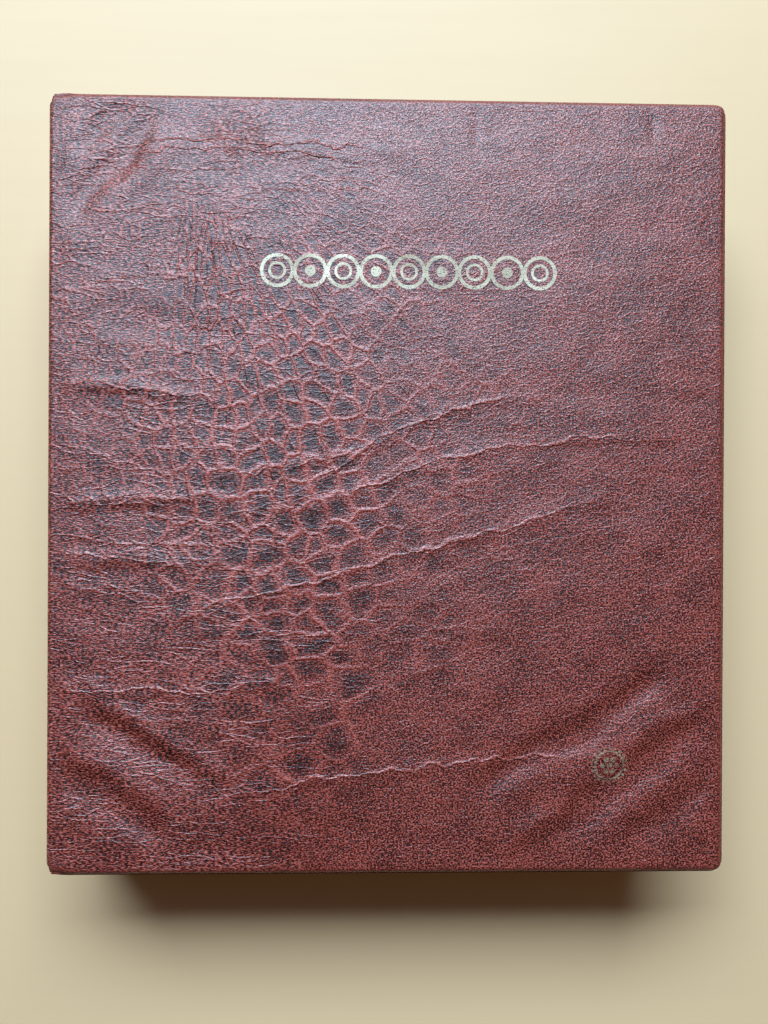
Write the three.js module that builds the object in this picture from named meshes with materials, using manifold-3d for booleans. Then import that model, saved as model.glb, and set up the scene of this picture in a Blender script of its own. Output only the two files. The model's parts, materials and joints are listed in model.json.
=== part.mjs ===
// A ring-bound coin album, lying shut on its back cover.
// Millimetres, +Z up. The origin is at the middle of the album's footprint, on the face it lies on.
// The spine is at -X, the fore-edge at +X, the head at +Y and the tail at -Y.
import * as THREE from "three";
import { mergeVertices } from "three/addons/utils/BufferGeometryUtils.js";
import Module from "manifold-3d";

const wasm = await Module();
wasm.setup();

// ---- driving dimensions ----
const ALBUM = { width: 240, height: 275, thickness: 45 };
const LAYER = { skin: 0.8, padding: 1.4, board: 2, liner: 0.5, gap: 0.1 };
const CORNER = { foreEdge: 4.5, spineEdge: 0.8 };
const WELD_WALL = 1.6; // the skin's wall round the boards, where the layers are welded
const FIT_GAP = 0.3;
const HINGE = { inset: 2, clearRadius: 3.2, stripReach: 2.2 };
const RIVET = { y: 114, shaft: 1.6, hole: 1.9, headRadius: 4, headHeight: 0.8, innerHead: 3.2 };
const RING = { radius: 11.5, wire: 1.3, standOff: 19.5, spacing: 70, count: 4, legHeight: 5.5 };
const PLATE = { halfWidth: 11, rise: 6, sheet: 0.8, length: 242 };
const BLADE = { length: 239, sheet: 0.8, lift: 0.6, middleGap: 0.2, outerEdge: 8.4, rivetNotch: 2.6 };
const SLOT_IN_PLATE = { low: 3.8, high: 8.2, halfLength: 1.8 };
const LEVER = { width: 10, sheet: 1.4, innerEnd: 121.8, tab: 125.8, height: 15, flare: 4 };
const PAGE = {
  count: 8,
  width: 202,
  height: 249,
  film: 0.6,
  filled: 3.4,
  pitch: 4.2,
  ringPitch: 2.2,
  pocketStart: 24,
  innerEdge: 5.6,
  slotInner: 2.6,
  slotOuter: 6.8,
  slotHalfLength: 2.75,
};

// ---- worked-out places ----
const PANEL = LAYER.skin + LAYER.padding + LAYER.board + LAYER.liner + 3 * LAYER.gap;
const foreEdgeX = ALBUM.width / 2;
const spineOuterX = -ALBUM.width / 2 + RIVET.headHeight;
const spineInnerX = spineOuterX + PANEL;
const hingeX = spineOuterX + HINGE.inset;
const coverStartX = hingeX + HINGE.clearRadius;
const middleZ = ALBUM.thickness / 2;
const spineTopZ = ALBUM.thickness - HINGE.inset - HINGE.clearRadius;
const spinePanelWidth = 2 * (spineTopZ - middleZ);
const ringX = spineInnerX + RING.standOff;
const ringYs = Array.from({ length: RING.count }, (_, i) => (i - (RING.count - 1) / 2) * RING.spacing);

// ---- materials ----
const finish = (color, roughness, metalness) => new THREE.MeshStandardMaterial({ color, roughness, metalness });
const leatherette = finish(0x8a4a48, 0.5, 0);
const foam = finish(0xd9d2c0, 0.9, 0);
const greyboard = finish(0x8f8a82, 0.9, 0);
const lining = finish(0x6d2f30, 0.6, 0);
const nickel = finish(0xc9ccd0, 0.25, 1);
const clearFilm = finish(0xe6ebee, 0.15, 0);

const album = new THREE.Group();

// ---- helpers ----
function named(name, geometry, material) {
  const mesh = new THREE.Mesh(geometry, material);
  mesh.name = name;
  return mesh;
}

function toSolid(geometry) {
  const bare = geometry.clone();
  bare.deleteAttribute("normal");
  bare.deleteAttribute("uv");
  const merged = mergeVertices(bare, 1e-4);
  return new wasm.Manifold(
    new wasm.Mesh({
      numProp: 3,
      vertProperties: merged.attributes.position.array,
      triVerts: new Uint32Array(merged.index.array),
    }),
  );
}

function toGeometry(solid) {
  const mesh = solid.getMesh();
  const geometry = new THREE.BufferGeometry();
  geometry.setAttribute("position", new THREE.BufferAttribute(mesh.vertProperties, mesh.numProp));
  geometry.setIndex(new THREE.BufferAttribute(mesh.triVerts, 1));
  return geometry;
}

function cutAll(geometry, cutters) {
  return toGeometry(cutters.reduce((solid, cutter) => solid.subtract(toSolid(cutter)), toSolid(geometry)));
}

function block(x0, x1, y0, y1, z0, z1) {
  const box = new THREE.BoxGeometry(x1 - x0, y1 - y0, z1 - z0);
  return box.translate((x0 + x1) / 2, (y0 + y1) / 2, (z0 + z1) / 2);
}

// A flat sheet from z0 to z1, x 0 to width, centred on y = 0, drawn in by inset all round.
function sheet(width, length, inset, z0, z1, startRadius, endRadius) {
  const x0 = inset;
  const x1 = width - inset;
  const y1 = length / 2 - inset;
  const near = Math.max(startRadius - inset, 0.2);
  const far = Math.max(endRadius - inset, 0.2);
  const outline = new THREE.Shape();
  outline.moveTo(x0 + near, -y1);
  outline.lineTo(x1 - far, -y1);
  outline.absarc(x1 - far, -y1 + far, far, -Math.PI / 2, 0, false);
  outline.lineTo(x1, y1 - far);
  outline.absarc(x1 - far, y1 - far, far, 0, Math.PI / 2, false);
  outline.lineTo(x0 + near, y1);
  outline.absarc(x0 + near, y1 - near, near, Math.PI / 2, Math.PI, false);
  outline.lineTo(x0, -y1 + near);
  outline.absarc(x0 + near, -y1 + near, near, Math.PI, 1.5 * Math.PI, false);
  const geometry = new THREE.ExtrudeGeometry(outline, { depth: z1 - z0, bevelEnabled: false, curveSegments: 4 });
  return geometry.translate(0, 0, z0);
}

// One padded panel: outer skin with its weld wall, foam, board and inner liner, outer face at z = 0.
function panel(prefix, width, endRadius, holes) {
  const group = new THREE.Group();
  const length = ALBUM.height;
  const linerBottom = PANEL - LAYER.liner;
  const foamBottom = LAYER.skin + LAYER.gap;
  const boardBottom = foamBottom + LAYER.padding + LAYER.gap;
  const plate = (inset, z0, z1) => sheet(width, length, inset, z0, z1, CORNER.spineEdge, endRadius);
  const pocket = plate(WELD_WALL, LAYER.skin, PANEL);
  const inside = WELD_WALL + FIT_GAP;
  const layers = [
    ["skin", cutAll(plate(0, 0, linerBottom - LAYER.gap), [pocket]), leatherette],
    ["padding", plate(inside, foamBottom, foamBottom + LAYER.padding), foam],
    ["board", plate(inside, boardBottom, boardBottom + LAYER.board), greyboard],
    ["liner", plate(0, linerBottom, PANEL), lining],
  ];
  for (const [layer, geometry, material] of layers) {
    const drilled = holes.length ? cutAll(geometry, holes) : geometry;
    group.add(named(prefix + "_" + layer, drilled, material));
  }
  return group;
}

// A round bar along Z, for drilling.
function drill(x, y, radius) {
  const bar = new THREE.CylinderGeometry(radius, radius, 60, 20);
  return bar.rotateX(Math.PI / 2).translate(x, y, 0);
}

// ---- covers and spine ----
function addPanels() {
  const coverWidth = foreEdgeX - coverStartX;
  const back = panel("back_cover", coverWidth, CORNER.foreEdge, []);
  back.position.set(coverStartX, 0, 0);
  const front = panel("front_cover", coverWidth, CORNER.foreEdge, []);
  front.rotation.x = Math.PI;
  front.position.set(coverStartX, 0, ALBUM.thickness);
  const rivetHoles = [-1, 1].map((side) => drill(spinePanelWidth / 2, side * RIVET.y, RIVET.hole));
  const spine = panel("spine", spinePanelWidth, CORNER.spineEdge, rivetHoles);
  spine.rotation.y = Math.PI / 2;
  spine.position.set(spineOuterX, 0, spineTopZ);
  album.add(back, front, spine);
}

// The flexible strip that wraps an outer corner, seen along Y with the hinge axis at the origin.
function hingeStrip(name) {
  const outer = HINGE.inset;
  const inner = HINGE.inset - LAYER.skin;
  const outline = new THREE.Shape();
  outline.moveTo(-outer, -HINGE.stripReach);
  outline.lineTo(-inner, -HINGE.stripReach);
  outline.lineTo(-inner, 0);
  outline.absarc(0, 0, inner, Math.PI, Math.PI / 2, true);
  outline.lineTo(HINGE.stripReach, inner);
  outline.lineTo(HINGE.stripReach, outer);
  outline.lineTo(0, outer);
  outline.absarc(0, 0, outer, Math.PI / 2, Math.PI, false);
  const geometry = alongY(outline, ALBUM.height);
  return named(name, geometry, leatherette);
}

// Extrudes an outline drawn in X and Z along Y, centred on y = 0.
function alongY(outline, length) {
  const geometry = new THREE.ExtrudeGeometry(outline, { depth: length, bevelEnabled: false, curveSegments: 8 });
  return geometry.rotateX(Math.PI / 2).translate(0, length / 2, 0);
}

function addHingeStrips() {
  const front = hingeStrip("front_hinge_strip");
  front.position.set(hingeX, 0, ALBUM.thickness - HINGE.inset);
  const rear = hingeStrip("rear_hinge_strip");
  rear.rotation.x = Math.PI;
  rear.position.set(hingeX, 0, HINGE.inset);
  album.add(front, rear);
}

// ---- ring mechanism, drawn with x above the spine's inner face and z from its middle ----
const mechanism = new THREE.Group();
mechanism.position.set(spineInnerX, 0, middleZ);
album.add(mechanism);

function basePlate() {
  const { halfWidth, rise, sheet: steel } = PLATE;
  const bend = (halfWidth ** 2 + rise ** 2) / (2 * rise);
  const centre = rise - bend;
  const outerAngle = Math.asin(halfWidth / bend);
  const innerAngle = Math.acos((FIT_GAP - centre) / (bend - steel));
  const outline = new THREE.Shape();
  outline.absarc(centre, 0, bend, -outerAngle, outerAngle, false);
  outline.absarc(centre, 0, bend - steel, innerAngle, -innerAngle, true);
  const arch = alongY(outline, PLATE.length).translate(LAYER.gap, 0, 0);
  const { low, high, halfLength } = SLOT_IN_PLATE;
  const cutters = [];
  for (const y of ringYs) {
    cutters.push(block(-1, rise + 2, y - halfLength, y + halfLength, low, high));
    cutters.push(block(-1, rise + 2, y - halfLength, y + halfLength, -high, -low));
  }
  for (const side of [-1, 1]) {
    cutters.push(drill(0, side * RIVET.y, RIVET.hole).rotateY(Math.PI / 2));
  }
  return named("ring_base_plate", cutAll(arch, cutters), nickel);
}

function blade(name, side) {
  const { length, sheet: steel, lift, middleGap, outerEdge } = BLADE;
  const [low, high] = side > 0 ? [middleGap, outerEdge] : [-outerEdge, -middleGap];
  const strip = block(lift, lift + steel, -length / 2, length / 2, low, high);
  const notches = [-1, 1].map((end) => drill(0, end * RIVET.y, BLADE.rivetNotch).rotateY(Math.PI / 2));
  return named(name, cutAll(strip, notches), nickel);
}

// The centre line of one upper half-ring: an arc from the joint at the front, then a leg to its blade.
class HalfRingPath extends THREE.CurvePath {
  constructor() {
    super();
    const { radius, standOff, legHeight } = RING;
    const turn = THREE.MathUtils.degToRad(125);
    const start = Math.asin(0.1 / radius);
    const leaveX = standOff + radius * Math.cos(turn);
    const leaveZ = radius * Math.sin(turn);
    const toLeg = (leaveZ - legHeight) / -Math.cos(turn);
    const corner = new THREE.Vector3(leaveX - toLeg * Math.sin(turn), 0, legHeight);
    const legTop = new THREE.Vector3(corner.x - 2.8, 0, legHeight);
    const arc = new (class extends THREE.Curve {
      getPoint(t, target = new THREE.Vector3()) {
        const angle = start + (turn - start) * t;
        return target.set(standOff + radius * Math.cos(angle), 0, radius * Math.sin(angle));
      }
    })();
    const bend = new THREE.QuadraticBezierCurve3(arc.getPoint(1), corner, legTop);
    const legFoot = new THREE.Vector3(BLADE.lift + BLADE.sheet + LAYER.gap, 0, legHeight);
    this.add(arc);
    this.add(bend);
    this.add(new THREE.LineCurve3(legTop, legFoot));
  }
}

function halfRing(name, side, y) {
  const section = new THREE.Shape();
  section.absarc(0, 0, RING.wire, 0, 2 * Math.PI, false);
  const settings = { steps: 20, curveSegments: 5, bevelEnabled: false, extrudePath: new HalfRingPath() };
  const mesh = named(name, new THREE.ExtrudeGeometry(section, settings), nickel);
  if (side < 0) mesh.rotation.x = Math.PI;
  mesh.position.y = y;
  return mesh;
}

// A trigger lever seen from its side, bent from one strip: a foot, an upright tab and a flared tip.
function triggerLever(name, end) {
  const { innerEnd, tab, height, flare, sheet: steel, width } = LEVER;
  const bottom = 1.2;
  const outline = new THREE.Shape();
  outline.moveTo(bottom, innerEnd);
  outline.lineTo(bottom, tab + steel);
  outline.lineTo(height, tab + steel);
  outline.lineTo(height + 2, tab + steel + flare);
  outline.lineTo(height + 2 + steel, tab + flare);
  outline.lineTo(height + steel / 2, tab);
  outline.lineTo(bottom + steel, tab);
  outline.lineTo(bottom + steel, innerEnd);
  const geometry = new THREE.ExtrudeGeometry(outline, { depth: width, bevelEnabled: false });
  const mesh = named(name, geometry.translate(0, 0, -width / 2), nickel);
  if (end < 0) mesh.rotation.x = Math.PI;
  return mesh;
}

// A tubular rivet through the spine and the base plate, with a low dome at each end.
function rivet(name, end) {
  const outerFace = -PANEL;
  const innerFace = PLATE.rise + 2 * LAYER.gap;
  const { shaft, headRadius, headHeight, innerHead } = RIVET;
  const profile = [
    [0, outerFace - headHeight],
    [headRadius * 0.6, outerFace - headHeight * 0.85],
    [headRadius, outerFace - LAYER.gap],
    [shaft, outerFace - LAYER.gap],
    [shaft, innerFace],
    [innerHead, innerFace],
    [innerHead * 0.6, innerFace + headHeight * 0.7],
    [0, innerFace + headHeight],
  ];
  const points = profile.map(([radius, along]) => new THREE.Vector2(radius, along));
  const geometry = new THREE.LatheGeometry(points, 20).rotateZ(-Math.PI / 2);
  const mesh = named(name, geometry, nickel);
  mesh.position.y = end * RIVET.y;
  return mesh;
}

function addMechanism() {
  mechanism.add(basePlate(), blade("upper_blade", 1), blade("lower_blade", -1));
  ringYs.forEach((y, i) => {
    mechanism.add(halfRing("upper_half_ring_" + (i + 1), 1, y), halfRing("lower_half_ring_" + (i + 1), -1, y));
  });
  for (const [label, end] of [["head", 1], ["tail", -1]]) {
    mechanism.add(triggerLever(label + "_trigger_lever", end), rivet(label + "_rivet", end));
  }
}

// ---- pages, each drawn about the ring centre; place counts up from the middle of the stack ----
function pocketPage(name, place) {
  const ringHeight = place * PAGE.ringPitch;
  const slabHeight = place * PAGE.pitch;
  const crossing = Math.sqrt(RING.radius ** 2 - ringHeight ** 2);
  const innerEdge = crossing - PAGE.innerEdge;
  const marginEnd = crossing + PAGE.slotOuter + 1.2;
  const foreEdge = RING.radius - PAGE.innerEdge + PAGE.width;
  const half = PAGE.film / 2;
  const thick = PAGE.filled / 2;
  const start = PAGE.pocketStart;
  const outline = new THREE.Shape();
  outline.moveTo(innerEdge, ringHeight - half);
  outline.lineTo(marginEnd, ringHeight - half);
  outline.lineTo(start, slabHeight - half);
  outline.lineTo(start + 1, slabHeight - thick);
  outline.lineTo(foreEdge, slabHeight - thick);
  outline.lineTo(foreEdge, slabHeight + thick);
  outline.lineTo(start + 1, slabHeight + thick);
  outline.lineTo(start, slabHeight + half);
  outline.lineTo(marginEnd, ringHeight + half);
  outline.lineTo(innerEdge, ringHeight + half);
  const slots = ringYs.map((y) =>
    block(
      crossing - PAGE.slotInner,
      crossing + PAGE.slotOuter,
      y - PAGE.slotHalfLength,
      y + PAGE.slotHalfLength,
      ringHeight - 1,
      ringHeight + 1,
    ),
  );
  const mesh = named(name, cutAll(alongY(outline, PAGE.height), slots), clearFilm);
  mesh.position.set(ringX, 0, middleZ);
  return mesh;
}

function addPages() {
  for (let i = 0; i < PAGE.count; i++) {
    album.add(pocketPage("page_" + (i + 1), (PAGE.count - 1) / 2 - i));
  }
}

addPanels();
addHingeStrips();
addMechanism();
addPages();

export default album;
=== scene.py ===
import json
import math
import random

import bmesh
import bpy
from mathutils import Matrix, Vector, noise


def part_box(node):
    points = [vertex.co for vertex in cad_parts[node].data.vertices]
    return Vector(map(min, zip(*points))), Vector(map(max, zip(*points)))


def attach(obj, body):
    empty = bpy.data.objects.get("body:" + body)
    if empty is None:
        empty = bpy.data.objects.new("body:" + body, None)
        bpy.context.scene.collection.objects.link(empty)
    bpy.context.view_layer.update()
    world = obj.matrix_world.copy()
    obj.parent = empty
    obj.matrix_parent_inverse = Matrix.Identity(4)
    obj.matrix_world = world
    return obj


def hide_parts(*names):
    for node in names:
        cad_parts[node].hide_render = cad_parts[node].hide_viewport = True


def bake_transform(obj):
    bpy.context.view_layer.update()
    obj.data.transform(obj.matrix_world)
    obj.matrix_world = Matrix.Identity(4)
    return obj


bl_info = {
    "name": "Coin album",
    "version": (1, 0, 0),
    "blender": (4, 5, 0),
    "location": "View3D > Sidebar > Coin album",
    "description": "Builds the finished surfaces of a ring-bound coin album round its working frame",
    "category": "Mesh",
}

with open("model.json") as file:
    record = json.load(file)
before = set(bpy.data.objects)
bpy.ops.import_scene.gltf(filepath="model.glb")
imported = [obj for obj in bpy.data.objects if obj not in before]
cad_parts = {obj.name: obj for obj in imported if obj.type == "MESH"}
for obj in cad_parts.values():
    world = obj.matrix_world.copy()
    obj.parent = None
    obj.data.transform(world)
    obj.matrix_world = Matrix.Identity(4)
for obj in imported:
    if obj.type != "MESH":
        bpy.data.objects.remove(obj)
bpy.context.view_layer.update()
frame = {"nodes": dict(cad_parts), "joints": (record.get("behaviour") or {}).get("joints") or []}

# ---- places read from the frame, in metres ----
MM = 0.001
JOINTS = {joint["name"]: joint for joint in frame["joints"]}
HINGE = Vector(JOINTS["front_cover_hinge"]["pos_m"])
RING_CENTRE = Vector(JOINTS["page_1_turn"]["pos_m"])
COVER_LOW, COVER_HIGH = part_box("front_cover_skin")
TOP = COVER_HIGH.z
MIDDLE = TOP / 2
HEAD = COVER_HIGH.y
FORE = COVER_HIGH.x
SPINE_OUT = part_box("spine_skin")[0].x
SPINE_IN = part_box("spine_liner")[1].x
LINING_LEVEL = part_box("front_cover_liner")[0].z
ARC_RADIUS = TOP - HINGE.z
SPINE_RISE = HINGE.z - MIDDLE
ARC_LENGTH = ARC_RADIUS * math.pi / 2
RINGS = range(1, 5)
RING_YS = [sum(corner.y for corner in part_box(f"upper_half_ring_{i}")) / 2 for i in RINGS]
PAGES = range(1, 9)


# ---- sizes and colours that a user may change ----
def length(name, text, default):
    return bpy.props.FloatProperty(name=name, description=text, default=default, unit="LENGTH", precision=5)


def colour(name, text, default):
    return bpy.props.FloatVectorProperty(
        name=name, description=text, default=default, subtype="COLOR", size=3)


class AlbumSizes(bpy.types.PropertyGroup):
    vinyl: length("Vinyl", "Thickness of the outer vinyl", 0.5 * MM)
    lining: length("Lining", "Thickness of the inner lining", 0.4 * MM)
    grid_step: length("Grid step", "Spacing of the skin's mesh", 1.45 * MM)
    crown: length("Crown", "How far the padding lifts the middle of a cover", 0.35 * MM)
    flange: length("Weld flange", "Width of the flat weld round a cover", 0.9 * MM)
    roll: length("Rolled edge", "Width of the rounded edge inside the weld flange", 2.7 * MM)
    corner: length("Corner radius", "Radius of the fore-edge corners", 4.5 * MM)
    foil_lift: length("Foil lift", "How far the foil stands above the vinyl", 0.07 * MM)
    wire: length("Ring wire", "Radius of the ring wire", 1.3 * MM)
    pocket_film: length("Pocket film", "Thickness of one pocket film", 0.18 * MM)


class AlbumColours(bpy.types.PropertyGroup):
    vinyl_mid: colour("Vinyl", "Printed leatherette, main tone", (0.275, 0.037, 0.022))
    vinyl_dark: colour("Vinyl dark", "Dark print between the creases", (0.010, 0.0015, 0.0015))
    # The lighter colour of the lines, which also serves as painted highlight for glints on the raised
    # grain.
    vinyl_light_and_glint: colour("Vinyl light", "Crease lines", (0.62, 0.18, 0.145))
    lining: colour("Lining", "Inner lining", (0.10, 0.014, 0.016))
    foil: colour("Foil", "Stamped foil", (0.84, 0.79, 0.58))
    nickel: colour("Nickel", "Plated steel", (0.62, 0.61, 0.58))
    film: colour("Film", "Clear pocket film", (0.80, 0.84, 0.86))
    silver: colour("Silver", "Silver coins", (0.62, 0.62, 0.60))
    brass: colour("Brass", "Brass coins", (0.60, 0.42, 0.16))
    copper: colour("Copper", "Copper coins", (0.42, 0.17, 0.09))
    board: colour("Board", "Grey bookbinding board", (0.24, 0.22, 0.19))
    foam: colour("Foam", "Foam padding", (0.70, 0.63, 0.50))
    floor: colour("Floor", "Pale studio floor", (0.93, 0.75, 0.44))


def sizes():
    return bpy.context.scene.album_sizes


def colours():
    return bpy.context.scene.album_colours


# ---- node helpers ----
class Graph:
    """Adds nodes to one node tree and joins their sockets."""

    def __init__(self, tree):
        self.tree = tree

    def add(self, kind, feeds=None, **settings):
        node = self.tree.nodes.new(kind)
        for name, value in settings.items():
            setattr(node, name, value)
        for key, value in (feeds or {}).items():
            self.feed(node.inputs[key], value)
        return node

    def feed(self, socket, value):
        if isinstance(value, bpy.types.NodeSocket):
            self.tree.links.new(value, socket)
        elif hasattr(value, "__len__") and len(value) == 3 and socket.type == "RGBA":
            socket.default_value = (*value, 1)
        else:
            socket.default_value = value

    def math(self, operation, *values):
        return self.add("ShaderNodeMath", dict(enumerate(values)), operation=operation).outputs[0]

    def times(self, first, second):
        return self.math("MULTIPLY", first, second)

    def times_plus(self, value, factor, added):
        return self.math("MULTIPLY_ADD", value, factor, added)

    def most(self, first, second):
        return self.math("MAXIMUM", first, second)

    def vector_math(self, operation, first, second):
        key = "Scale" if operation == "SCALE" else 1
        return self.add("ShaderNodeVectorMath", {0: first, key: second}, operation=operation).outputs[0]

    def step(self, value, low, high, to_low=0.0, to_high=1.0):
        feeds = {"Value": value, "From Min": low, "From Max": high, "To Min": to_low, "To Max": to_high}
        return self.add("ShaderNodeMapRange", feeds, interpolation_type="SMOOTHSTEP").outputs[0]

    def mix(self, factor, first, second, blend="MIX"):
        node = self.add("ShaderNodeMix", data_type="RGBA", blend_type=blend)
        for name, value in (("Factor", factor), ("A", first), ("B", second)):
            wanted = "VALUE" if name == "Factor" else "RGBA"
            socket = next(s for s in node.inputs if s.name == name and s.type == wanted)
            self.feed(socket, value)
        return next(s for s in node.outputs if s.type == "RGBA")

    def noise(self, vector, scale, detail=2.0, roughness=0.5):
        feeds = {"Vector": vector, "Scale": scale, "Detail": detail, "Roughness": roughness}
        return self.add("ShaderNodeTexNoise", feeds).outputs["Fac"]

    def place(self, vector, scale, turn=0.0, shift=(0, 0, 0)):
        feeds = {"Vector": vector, "Scale": scale, "Rotation": (0, 0, turn), "Location": shift}
        return self.add("ShaderNodeMapping", feeds).outputs[0]

    def group(self, name, **feeds):
        node = self.add("ShaderNodeGroup", node_tree=bpy.data.node_groups[name])
        for key, value in feeds.items():
            self.feed(node.inputs[key], value)
        return node.outputs


def new_group(name, inputs, outputs):
    tree = bpy.data.node_groups.new(name, "ShaderNodeTree")
    for label, kind in inputs:
        tree.interface.new_socket(name=label, in_out="INPUT", socket_type=kind)
    for label in outputs:
        tree.interface.new_socket(name=label, in_out="OUTPUT", socket_type="NodeSocketFloat")
    graph = Graph(tree)
    return graph, graph.add("NodeGroupInput").outputs, graph.add("NodeGroupOutput").inputs


FLOAT, VECTOR = "NodeSocketFloat", "NodeSocketVector"


def make_wrinkle_group():
    """A net of lines round cells. Spread is 1 for cells strewn at random and 0 for cells in rows."""
    inputs = [("Plan", VECTOR), ("Size", VECTOR), ("Warp", FLOAT), ("Line", FLOAT), ("Spread", FLOAT)]
    graph, given, out = new_group("wrinkle_net", inputs, ["Lines", "Cells"])
    cells = graph.vector_math("DIVIDE", given["Plan"], given["Size"])
    feeds = {"Vector": cells, "Scale": 0.55, "Detail": 2.0}
    drift = graph.add("ShaderNodeTexNoise", feeds).outputs["Color"]
    centred = graph.vector_math("SUBTRACT", drift, (0.5, 0.5, 0.5))
    moved = graph.vector_math("ADD", cells, graph.vector_math("SCALE", centred, given["Warp"]))
    feeds = {"Vector": moved, "Scale": 1.0, "Randomness": given["Spread"]}
    settings = {"feature": "DISTANCE_TO_EDGE", "voronoi_dimensions": "2D"}
    edge = graph.add("ShaderNodeTexVoronoi", feeds, **settings).outputs["Distance"]
    graph.feed(out["Lines"], graph.step(edge, 0.0, given["Line"], 1.0, 0.0))
    graph.feed(out["Cells"], graph.step(edge, 0.0, 0.45))


def make_crease_group():
    """One long crease: a line height = rise + slope * along + bend * along squared, fading at both ends."""
    inputs = [("Plan", VECTOR), ("Wander", FLOAT), ("Rise", FLOAT), ("Slope", FLOAT), ("Bend", FLOAT),
              ("Start", FLOAT), ("End", FLOAT), ("Width", FLOAT)]
    graph, given, out = new_group("long_crease", inputs, ["Line"])
    parts = graph.add("ShaderNodeSeparateXYZ", {0: given["Plan"]}).outputs
    along, up = parts["X"], parts["Y"]
    steepness = graph.times_plus(given["Bend"], along, given["Slope"])
    curve = graph.times_plus(steepness, along, given["Rise"])
    offset = graph.math("SUBTRACT", graph.math("SUBTRACT", up, curve), given["Wander"])
    distance = graph.math("ABSOLUTE", offset)
    line = graph.step(distance, 0.0, given["Width"], 1.0, 0.0)
    begins = graph.step(graph.math("SUBTRACT", along, given["Start"]), 0.0, 14.0)
    ends = graph.step(graph.math("SUBTRACT", given["End"], along), 0.0, 18.0)
    graph.feed(out["Line"], graph.times(line, graph.times(begins, ends)))


def make_wear_group():
    """Fine scratches and cloudy patches for metal, film and foil, read in metres."""
    inputs = [("Place", VECTOR), ("Scratch", FLOAT), ("Cloud", FLOAT)]
    graph, given, out = new_group("handling_wear", inputs, ["Scratches", "Clouds"])
    stretched = graph.place(given["Place"], (180.0, 2600.0, 900.0), 0.35)
    streaks = graph.noise(stretched, 1.0, 3.0, 0.7)
    clouds = graph.noise(given["Place"], 55.0, 4.0, 0.6)
    graph.feed(out["Scratches"], graph.times(graph.step(streaks, 0.45, 0.75), given["Scratch"]))
    graph.feed(out["Clouds"], graph.times(graph.step(clouds, 0.3, 0.7), given["Cloud"]))


def new_material(name, **constants):
    material = bpy.data.materials.new(name)
    material.use_nodes = True
    graph = Graph(material.node_tree)
    shader = next(n for n in material.node_tree.nodes if n.type == "BSDF_PRINCIPLED")
    for key, value in constants.items():
        graph.feed(shader.inputs[key.replace("_", " ")], value)
    return material, graph, shader


def bump(graph, shader, height, distance, strength=1.0):
    feeds = {"Height": height, "Distance": distance, "Strength": strength}
    graph.feed(shader.inputs["Normal"], graph.add("ShaderNodeBump", feeds).outputs[0])


# Long creases in the leatherette, in millimetres across from the spine and up from the middle:
# where each starts, bends and ends, and how wide it is.
CREASES = [
    ((42, -46), (112, -28), (190, -5), 1.5),
    ((92, 0), (126, 21), (168, 31), 1.3),
    ((96, -6), (146, 11), (216, 17), 1.4),
    ((69, -107), (136, -98), (190, -95), 1.3),
    ((0, -69), (30, -72), (74, -69), 1.2),
    ((18, 117), (62, 120), (118, 117), 0.9),
    ((20, 114), (62, 117), (110, 114), 0.8),
    ((2, 35), (28, 34), (58, 29), 1.2),
    ((2, -7), (30, -6), (60, -4), 1.2),
    ((2, -23), (26, -26), (54, -27), 1.1),
    ((60, 4), (90, 8), (118, 16), 0.9),
]


def parabola(first, second, third):
    """Rise, slope and bend of the curve through three points."""
    (x0, y0), (x1, y1), (x2, y2) = first, second, third
    slope_01 = (y1 - y0) / (x1 - x0)
    slope_12 = (y2 - y1) / (x2 - x1)
    bend = (slope_12 - slope_01) / (x2 - x0)
    slope = slope_01 - bend * (x0 + x1)
    return y0 - slope * x0 - bend * x0 * x0, slope, bend


# Where the drawn-out wrinkles fan out from, in millimetres, and how far their field reaches.
FAN_APEX = (52.0, 122.0)
FIELD_CENTRE = (80.0, 4.0)
FIELD_REACH = (88.0, 130.0)


def fan_plan(graph, plan):
    """Coordinates that run round and away from the fan's apex, with its place in the middle."""
    parts = graph.add("ShaderNodeSeparateXYZ", {0: plan}).outputs
    aside = graph.math("SUBTRACT", parts["X"], FAN_APEX[0])
    down = graph.math("SUBTRACT", FAN_APEX[1], parts["Y"])
    turn = graph.math("ARCTAN2", aside, down)
    squares = graph.math("ADD", graph.times(aside, aside), graph.times(down, down))
    away = graph.math("SQRT", squares)
    feeds = {"X": graph.times(turn, 100.0), "Y": away}
    return graph.add("ShaderNodeCombineXYZ", feeds).outputs[0]


def fan_rays(graph, fan, broken):
    """Long lines that run straight away from the fan's apex, broken here and there."""
    wander = graph.noise(graph.place(fan, (0.12, 0.03, 1.0)), 1.0, 2.0)
    turn = graph.add("ShaderNodeSeparateXYZ", {0: fan}).outputs["X"]
    place = graph.times_plus(wander, 2.2, graph.math("DIVIDE", turn, 6.5))
    line = graph.step(graph.math("PINGPONG", place, 0.5), 0.0, 0.2, 1.0, 0.0)
    return graph.times(line, graph.step(broken, 0.42, 0.55))


def field_mask(graph, plan, patchy):
    """1 inside the field of large cells, with a ragged edge."""
    shift = (-FIELD_CENTRE[0] / FIELD_REACH[0], -FIELD_CENTRE[1] / FIELD_REACH[1], 0)
    place = graph.place(plan, (1 / FIELD_REACH[0], 1 / FIELD_REACH[1], 1.0), 0.0, shift)
    reach = graph.add("ShaderNodeVectorMath", {0: place}, operation="LENGTH").outputs["Value"]
    return graph.step(graph.times_plus(patchy, 1.6, reach), 0.9, 1.95, 1.0, 0.0)


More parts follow.
